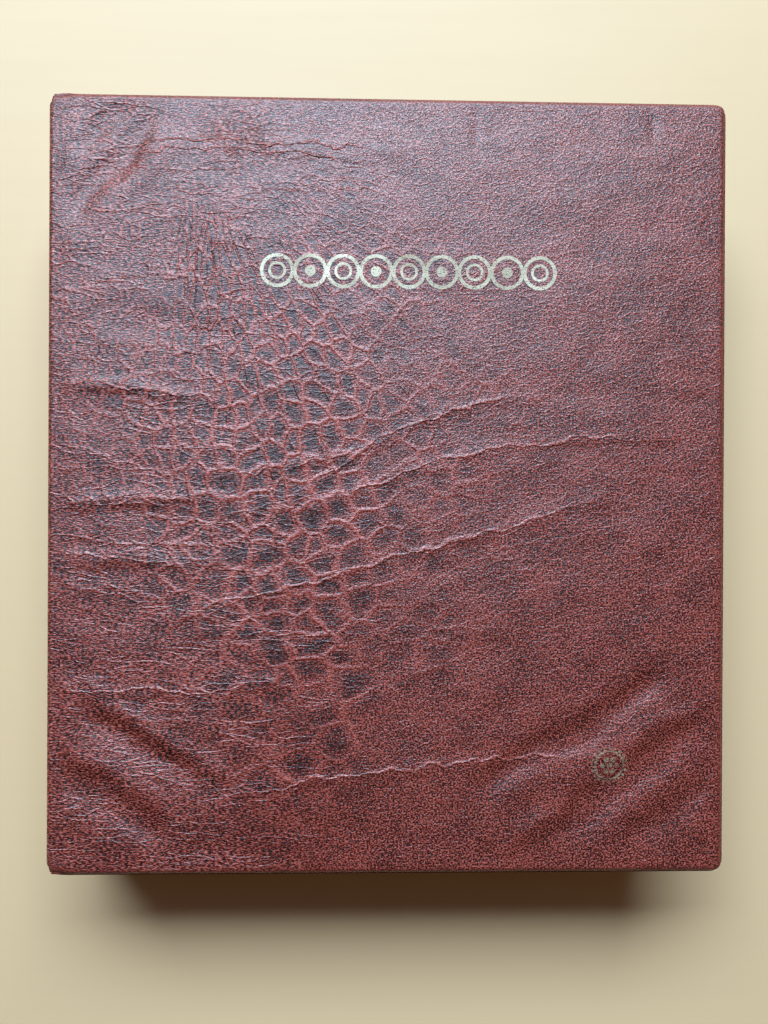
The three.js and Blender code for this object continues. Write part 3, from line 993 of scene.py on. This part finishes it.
def build_foil_medal():
    """A small plain rosette: a reeded rim round a ring and a disc."""
    mesh = bmesh.new()
    foil_ring(mesh, MEDAL_CENTRE, MEDAL_RADIUS - 1.3, MEDAL_RADIUS - 2.1, 40)
    foil_dots_round(mesh, 20, MEDAL_RADIUS - 0.6, 0.62, 4, turned=True)
    foil_dots_round(mesh, 6, 2.4, 0.95, 14, turned=False)
    foil_dot(mesh, MEDAL_CENTRE, 1.0, 16)
    press_on("foil_rosette", mesh, "rubbed_foil")


# ---- ring mechanism ----
PLATE_LOW, PLATE_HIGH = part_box("ring_base_plate")
PLATE_SHEET = 0.8 * MM


RIB_HEIGHT = 0.25 * MM
RIB_REACH = 1.3 * MM
PLATE_END_WIDTH = 0.82


def build_base_plate():
    """The arched plate, with a slot for each leg of each ring and a stiffening rib."""
    half_width = (PLATE_HIGH.z - PLATE_LOW.z) / 2
    rise = PLATE_HIGH.x - SPINE_IN
    bend = (half_width ** 2 + rise ** 2) / (2 * rise)
    reach = math.asin(half_width / bend) - 0.02
    angles = [-reach + 2 * reach * i / 44 for i in range(45)]
    mesh = stop_grid(angles, even_steps(PLATE_LOW.y, PLATE_HIGH.y, 1.0 * MM) + [PLATE_HIGH.y])
    cut_at_rings(mesh, 1.8 * MM, lambda angle: 3.8 * MM < bend * math.sin(abs(angle)) < 8.2 * MM)
    for vertex in mesh.verts:
        angle, y = vertex.co.x, vertex.co.y
        end = smoothstep(0, 6 * MM, PLATE_HIGH.y - abs(y))
        narrow = PLATE_END_WIDTH + (1 - PLATE_END_WIDTH) * end
        ridge = math.exp(-((angle * bend) / RIB_REACH) ** 2)
        rib = RIB_HEIGHT * ridge * smoothstep(16 * MM, 22 * MM, HEAD - abs(y))
        radius = bend + rib - RIB_HEIGHT
        x = SPINE_IN + rise - bend + radius * math.cos(angle)
        vertex.co = Vector((x, y, MIDDLE + radius * math.sin(angle) * narrow))
    bmesh.ops.recalc_face_normals(mesh, faces=mesh.faces)
    if sum(face.normal.x for face in mesh.faces) < 0:
        bmesh.ops.reverse_faces(mesh, faces=mesh.faces)
    finish_piece("arched_base_plate", mesh, "spine", finishes=["nickel_plate"],
                 replaces=["ring_base_plate"], modifiers=[thicken(PLATE_SHEET, -1), soft_edges(0.15 * MM)])


# Half outlines of a rivet: its dome as shares of the head's radius and height, and its rolled end in
# millimetres from the middle and above the plate.
RIVET_DOME = [(0, 1), (0.35, 0.96), (0.7, 0.75), (0.93, 0.35), (1, 0)]
RIVET_ROLL = [(1.6, 0.1), (3.1, 0.12), (3.2, 0.35), (2.6, 0.75), (1.5, 0.95), (1.2, 0.5), (0, 0.4)]
RIVET_SHANK = 1.6 * MM


def build_rivet(end):
    node = f"{end}_rivet"
    low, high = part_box(node)
    centre = (low + high) / 2
    outer, inner = SPINE_OUT - centre.x, PLATE_HIGH.x - centre.x
    dome = SPINE_OUT - low.x
    head = (high.z - low.z) / 2
    profile = [(head * across, outer - dome * height) for across, height in RIVET_DOME]
    profile += [(head * 0.9, outer + 0.25 * MM), (RIVET_SHANK, outer + 0.3 * MM)]
    profile += [(radius * MM, inner + height * MM) for radius, height in RIVET_ROLL]
    mesh = bmesh.new()
    turned_profile(mesh, profile, centre, Vector((1, 0, 0)), 32)
    finish_piece(f"{end}_tubular_rivet", mesh, "spine", finishes=["nickel_plate"],
                 replaces=[node])


RING_RADIUS = 11.5 * MM
LEG_HEIGHT = 5.5 * MM
ARC_END = math.radians(125)


def half_ring_path():
    """Centre line of an upper half-ring, from its tip over the top and down its leg to the blade."""
    tip = 0.12 * MM / RING_RADIUS
    stops = [tip + (ARC_END - tip) * i / 26 for i in range(27)]
    points = [RING_CENTRE + Vector((math.cos(a), 0, math.sin(a))) * RING_RADIUS for a in stops]
    leave = points[-1]
    heading = Vector((-math.sin(ARC_END), 0, math.cos(ARC_END)))
    corner = leave + heading * ((leave.z - MIDDLE - LEG_HEIGHT) / -heading.z)
    leg_top = corner - Vector((2.8 * MM, 0, 0))
    for i in range(1, 9):
        t = i / 8
        points.append(leave * (1 - t) ** 2 + corner * 2 * t * (1 - t) + leg_top * t ** 2)
    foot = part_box("upper_blade")[1].x
    points.append(Vector((foot + 0.02 * MM, 0, MIDDLE + LEG_HEIGHT)))
    return points


def build_half_ring(index, side):
    mesh = bmesh.new()
    y = RING_YS[index - 1]
    points = [Vector((p.x, y, p.z if side == "upper" else TOP - p.z)) for p in half_ring_path()]
    sweep_wire(mesh, points, sizes().wire, 20)
    foot = points[-1] + Vector((0.35 * MM, 0, 0))
    turned_profile(mesh, [(0, 0.1 * MM), (1.9 * MM, 0), (2.0 * MM, -0.35 * MM), (0, -0.35 * MM)], foot,
                   Vector((1, 0, 0)), 20)
    finish_piece(f"{side}_ring_wire_{index}", mesh, f"{side}_rings", finishes=["nickel_plate"],
                 replaces=[f"{side}_half_ring_{index}"], modifiers=[soft_edges(0.2 * MM)])


def build_lever(end, sign):
    """A trigger lever bent from strip, with a wider rounded thumb tab that curls outward."""
    node = f"{end}_trigger_lever"
    low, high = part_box(node)
    foot, tip = low.x + 0.7 * MM, high.x
    inner = min(abs(low.y), abs(high.y))
    outer = max(abs(low.y), abs(high.y))
    elbow = inner + 4.8 * MM
    path = [Vector((foot, inner, 0)), Vector((foot, inner + 4.2 * MM, 0))]
    path += [Vector((foot + 2.5 * MM, elbow, 0)), Vector((tip - 5.5 * MM, elbow, 0))]
    path += [Vector((tip - 2.2 * MM, inner + 5.6 * MM, 0)), Vector((tip - 0.9 * MM, outer - 1.2 * MM, 0))]
    path += [Vector((tip - 1.4 * MM, outer - 0.5 * MM, 0))]
    path = rounded(path)
    half = (high.z - low.z) / 2
    mesh = stop_grid([float(i) for i in range(len(path))], [i / 4 for i in range(-4, 5)])
    last = len(path) - 1
    for vertex in mesh.verts:
        index, across = round(vertex.co.x), vertex.co.y
        share = index / last
        width = half * (0.72 + 0.28 * smoothstep(0.35, 0.6, share))
        width *= 1 - 0.45 * smoothstep(0.82, 1.0, share) ** 2
        point = path[index]
        dish = 0.35 * MM * (1 - across ** 2) * smoothstep(0.5, 0.8, share)
        vertex.co = Vector((point.x, sign * (point.y + dish), MIDDLE + across * width))
    bmesh.ops.recalc_face_normals(mesh, faces=mesh.faces)
    finish_piece(f"{end}_thumb_lever", mesh, f"{end}_lever", finishes=["nickel_plate"],
                 replaces=[node], modifiers=[thicken(0.9 * MM, 0), soft_edges(0.2 * MM)])


# ---- pages and coins ----
COLUMNS, ROWS = 5, 6
POCKET_CELLS = 8
BINDING_END = 24.5 * MM
FILM_BULGE = 1.45 * MM
PAGE_RIM = 2.5 * MM
SLOT_BEFORE, SLOT_BEYOND = 2.6 * MM, 6.8 * MM
HALF_SLOT = 2.75 * MM


def page_heights(number):
    """Height of a page over the ring centre: at the rings, and across its pockets."""
    place = (len(PAGES) - 1) / 2 - (number - 1)
    return place * 2.2 * MM, place * 4.2 * MM


def ring_crossing(number):
    """Distance from the ring centre at which the rings pass through a page."""
    return math.sqrt(RING_RADIUS ** 2 - page_heights(number)[0] ** 2)


def binding_height(reach, number):
    """Height of the page's margin at a distance from the ring centre."""
    at_ring, at_pockets = page_heights(number)
    bend_start = ring_crossing(number) + 7.6 * MM
    return at_ring + (at_pockets - at_ring) * smoothstep(bend_start, BINDING_END, reach)


def pocket_size(low, high):
    """Width and height of one pocket on a page with these corners."""
    width = (high.x - RING_CENTRE.x - PAGE_RIM - BINDING_END) / COLUMNS
    return width, (high.y - low.y - 2 * PAGE_RIM) / ROWS


def page_stops(low, high, crossing):
    """Stops along and up a page, with two at the ends of each ring's slot."""
    width, height = pocket_size(low, high)
    outer = high.x - RING_CENTRE.x
    reaches = even_steps(low.x - RING_CENTRE.x, crossing - SLOT_BEFORE, 1.4 * MM)
    reaches += even_steps(crossing - SLOT_BEFORE, crossing + SLOT_BEYOND, 1.6 * MM)
    reaches += even_steps(crossing + SLOT_BEYOND, BINDING_END, 1.2 * MM)
    reaches += [BINDING_END + width * i / POCKET_CELLS for i in range(COLUMNS * POCKET_CELLS)]
    reaches += [outer - PAGE_RIM, outer]
    ups = [low.y + PAGE_RIM + height * i / POCKET_CELLS for i in range(ROWS * POCKET_CELLS + 1)]
    ups += [low.y, high.y]
    for y in RING_YS:
        ups = [up for up in ups if abs(abs(up - y) - HALF_SLOT) > 0.9 * MM]
        ups += [y - HALF_SLOT, y + HALF_SLOT]
    return reaches, sorted(ups)


def pocket_swell(reach, y, low, high):
    """How far a film bulges at a place on a page: most inside each pocket, and nothing on the welds."""
    on_pockets = BINDING_END < reach < high.x - RING_CENTRE.x - PAGE_RIM
    if not on_pockets or not low.y + PAGE_RIM < y < high.y - PAGE_RIM:
        return 0.0
    width, height = pocket_size(low, high)
    u = (reach - BINDING_END) / width % 1
    v = (y - low.y - PAGE_RIM) / height % 1
    shape = (1 - abs(2 * u - 1) ** 5) * (1 - abs(2 * v - 1) ** 5)
    return FILM_BULGE * max(shape, 0) ** 0.5


def build_page(number):
    """A pocket page: a punched binding margin, and two films welded in a lattice of pockets."""
    low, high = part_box(f"page_{number}")
    level = page_heights(number)[1]
    crossing = ring_crossing(number)
    film = sizes().pocket_film
    mesh = stop_grid(*page_stops(low, high, crossing))
    cut_at_rings(mesh, HALF_SLOT, lambda reach: crossing - SLOT_BEFORE < reach < crossing + SLOT_BEYOND)
    weld = mesh.verts.layers.float.new("weld")
    bmesh.ops.solidify(mesh, geom=mesh.faces[:], thickness=film * 2)
    for vertex in mesh.verts:
        side = 1 if vertex.co.z > film * 0.5 else -1
        reach, y = vertex.co.x, vertex.co.y
        swell = pocket_swell(reach, y, low, high)
        vertex[weld] = 1 - smoothstep(0, 0.35 * MM, swell)
        height = level if reach > BINDING_END else binding_height(reach, number)
        vertex.co = RING_CENTRE + Vector((reach, y, height + side * (swell + film)))
    bmesh.ops.recalc_face_normals(mesh, faces=mesh.faces)
    finish_piece(f"pocket_page_{number}", mesh, f"page_{number}_leaf", finishes=["pocket_film"],
                 replaces=[f"page_{number}"])


COIN_SINK = 0.16 * MM
COIN_BOSS = 0.1 * MM
COIN_EDGE = 0.12 * MM


def build_coin(mesh, centre, radius, thick, sides, finish):
    """A struck coin: a raised rim round a sunk field, with a plain boss on both faces."""
    rim = radius * 0.1
    half = thick * 0.5
    sunk = half - COIN_SINK
    boss = sunk + COIN_BOSS
    profile = [(0, boss), (radius * 0.3, boss), (radius * 0.36, sunk), (radius - rim * 1.3, sunk)]
    profile += [(radius - rim, half), (radius - COIN_EDGE, half), (radius, half - COIN_EDGE)]
    profile += [(r, -h) for r, h in reversed(profile)]
    start = len(mesh.faces)
    spin_profile(mesh, profile, centre, Vector((0, 0, 1)), Vector((1, 0, 0)), sides)
    mesh.faces.ensure_lookup_table()
    for face in mesh.faces[start:]:
        face.material_index = finish


# Radius and thickness in millimetres, and metal (0 silver, 1 brass, 2 copper), of each kind of coin.
COIN_KINDS = [(9.4, 1.7, 2), (10.6, 1.7, 2), (11.6, 1.9, 1), (12.9, 2.0, 0), (13.8, 2.1, 1), (15.6, 2.2, 0)]
EMPTY_SHARE = 0.12
COIN_SETTLE = 2 * MM
FACED_PAGES = (4, 5)


def build_coins(number):
    """The coins in one page: one in most pockets, each settled a little off the middle."""
    draw = random.Random(40 + number)
    low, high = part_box(f"page_{number}")
    width, height = pocket_size(low, high)
    level = RING_CENTRE.z + page_heights(number)[1]
    sides = 48 if number in FACED_PAGES else 14
    mesh = bmesh.new()
    for column in range(COLUMNS):
        for row in range(ROWS):
            radius, thick, finish = draw.choice(COIN_KINDS)
            slip = draw.uniform(-1.5, 1.5) * MM
            if draw.random() < EMPTY_SHARE:
                continue
            x = RING_CENTRE.x + BINDING_END + width * (column + 0.5) + slip
            y = low.y + PAGE_RIM + height * (row + 0.5) - COIN_SETTLE
            build_coin(mesh, Vector((x, y, level)), radius * MM, thick * MM, sides, finish)
    bmesh.ops.remove_doubles(mesh, verts=mesh.verts, dist=1e-6)
    bmesh.ops.recalc_face_normals(mesh, faces=mesh.faces)
    finish_piece(f"page_{number}_coins", mesh, f"page_{number}_leaf",
                 finishes=["silver_coin", "brass_coin", "copper_coin"], smooth=False)


# ---- stage ----
CAMERA_PLACE = Vector((-8.4, -8.7, 314.4)) * MM
CAMERA_TURN = (-0.09, -1.35, 0.275)
PHONE_LENS = 26.0
PHONE_SENSOR = 34.6


def build_camera():
    data = bpy.data.cameras.new("camera")
    data.lens, data.sensor_width = PHONE_LENS, PHONE_SENSOR
    data.clip_start, data.clip_end = 0.01, 20
    camera = bpy.data.objects.new("camera", data)
    camera.location = CAMERA_PLACE
    camera.rotation_euler = [math.radians(turn) for turn in CAMERA_TURN]
    bpy.context.scene.collection.objects.link(camera)
    bpy.context.scene.camera = camera


# Place, size, power and colour of each light. Both point at the frame's origin.
WINDOW = ((-0.20, 1.80, 1.62), (2.4, 1.0), 104, (0.74, 0.85, 1.0))
SKYLIGHT = ((-0.25, 1.08, 1.8), (2.2, 0.45), 38, (0.44, 0.70, 1.0))
SURROUNDINGS_TONE = (1.0, 0.55, 0.33, 1)
SURROUNDINGS_STRENGTH = 0.07


def add_light(name, place, size, power, tone, sheen_only=False):
    """An area light; one that is sheen only shows in reflections and adds no light of its own."""
    data = bpy.data.lights.new(name, "AREA")
    data.shape, data.size, data.size_y = "RECTANGLE", *size
    data.energy, data.color = power, tone
    light = bpy.data.objects.new(name, data)
    light.location = place
    light.rotation_euler = (-Vector(place)).to_track_quat("-Z", "Y").to_euler()
    light.visible_diffuse = not sheen_only
    bpy.context.scene.collection.objects.link(light)


def build_stage():
    mesh = bmesh.new()
    bmesh.ops.create_grid(mesh, x_segments=8, y_segments=8, size=3)
    data = bpy.data.meshes.new("floor")
    mesh.to_mesh(data)
    mesh.free()
    floor = bpy.data.objects.new("floor", data)
    data.materials.append(material("pale_floor"))
    bpy.context.scene.collection.objects.link(floor)
    add_light("window", *WINDOW)
    add_light("skylight", *SKYLIGHT, sheen_only=True)
    world = bpy.data.worlds.new("studio")
    world.use_nodes = True
    background = world.node_tree.nodes["Background"]
    background.inputs["Color"].default_value = SURROUNDINGS_TONE
    background.inputs["Strength"].default_value = SURROUNDINGS_STRENGTH
    bpy.context.scene.view_settings.view_transform = "Standard"
    bpy.context.scene.world = world


# ---- operators ----
class ALBUM_OT_stage(bpy.types.Operator):
    """Add the floor, lights and camera"""
    bl_idname = "album.stage"
    bl_label = "Stage"

    def execute(self, context):
        build_camera()
        build_stage()
        return {"FINISHED"}


class ALBUM_OT_skins(bpy.types.Operator):
    """Build the outer leatherette over the covers and the spine"""
    bl_idname = "album.skins"
    bl_label = "Outer leatherette"

    def execute(self, context):
        build_skin("front_leatherette", False, ["front_cover_skin", "front_hinge_strip", "spine_skin"])
        build_skin("rear_leatherette", True, ["back_cover_skin", "rear_hinge_strip"])
        return {"FINISHED"}


class ALBUM_OT_linings(bpy.types.Operator):
    """Build the inner lining of the covers and the spine"""
    bl_idname = "album.linings"
    bl_label = "Inner lining"

    def execute(self, context):
        build_lining("front_lining", False, ["front_cover_liner", "spine_liner"])
        build_lining("rear_lining", True, ["back_cover_liner"])
        return {"FINISHED"}


class ALBUM_OT_padding(bpy.types.Operator):
    """Build the foam pads and give the boards their finish"""
    bl_idname = "album.padding"
    bl_label = "Foam and board"

    def execute(self, context):
        for panel in ("front_cover", "spine", "back_cover"):
            build_foam(panel)
            dress_node(f"{panel}_board", "grey_board")
        return {"FINISHED"}


class ALBUM_OT_foil(bpy.types.Operator):
    """Stamp the foil ornaments on the front cover"""
    bl_idname = "album.foil"
    bl_label = "Foil ornaments"

    def execute(self, context):
        build_foil_line()
        build_foil_medal()
        return {"FINISHED"}


class ALBUM_OT_mechanism(bpy.types.Operator):
    """Build the base plate, rivets, rings and trigger levers, and give the blades their finish"""
    bl_idname = "album.mechanism"
    bl_label = "Ring mechanism"

    def execute(self, context):
        build_base_plate()
        for side in ("upper", "lower"):
            dress_node(f"{side}_blade", "nickel_plate")
            for index in RINGS:
                build_half_ring(index, side)
        for end, sign in (("head", 1), ("tail", -1)):
            build_rivet(end)
            build_lever(end, sign)
        return {"FINISHED"}


class ALBUM_OT_pages(bpy.types.Operator):
    """Build the pocket pages and the coins in them"""
    bl_idname = "album.pages"
    bl_label = "Pages and coins"

    def execute(self, context):
        for number in PAGES:
            build_page(number)
            build_coins(number)
        return {"FINISHED"}


def dress_node(node, finish):
    """Gives a carried-over node its finish."""
    data = frame["nodes"][node].data
    data.materials.clear()
    data.materials.append(material(finish))


class ALBUM_PT_panel(bpy.types.Panel):
    """Lists the operators that build the album"""
    bl_idname = "ALBUM_PT_panel"
    bl_label = "Coin album"
    bl_space_type = "VIEW_3D"
    bl_region_type = "UI"
    bl_category = "Coin album"

    def draw(self, context):
        for operator in OPERATORS:
            self.layout.operator(operator.bl_idname)


OPERATORS = [ALBUM_OT_stage, ALBUM_OT_skins, ALBUM_OT_linings, ALBUM_OT_padding, ALBUM_OT_foil,
             ALBUM_OT_mechanism, ALBUM_OT_pages]
CLASSES = [AlbumSizes, AlbumColours, *OPERATORS, ALBUM_PT_panel]


def register():
    for item in CLASSES:
        bpy.utils.register_class(item)
    bpy.types.Scene.album_sizes = bpy.props.PointerProperty(type=AlbumSizes)
    bpy.types.Scene.album_colours = bpy.props.PointerProperty(type=AlbumColours)


def unregister():
    del bpy.types.Scene.album_colours
    del bpy.types.Scene.album_sizes
    for item in reversed(CLASSES):
        bpy.utils.unregister_class(item)


def main():
    register()
    for operator in OPERATORS:
        group, action = operator.bl_idname.split(".")
        getattr(getattr(bpy.ops, group), action)()


if __name__ == "__main__":
    main()
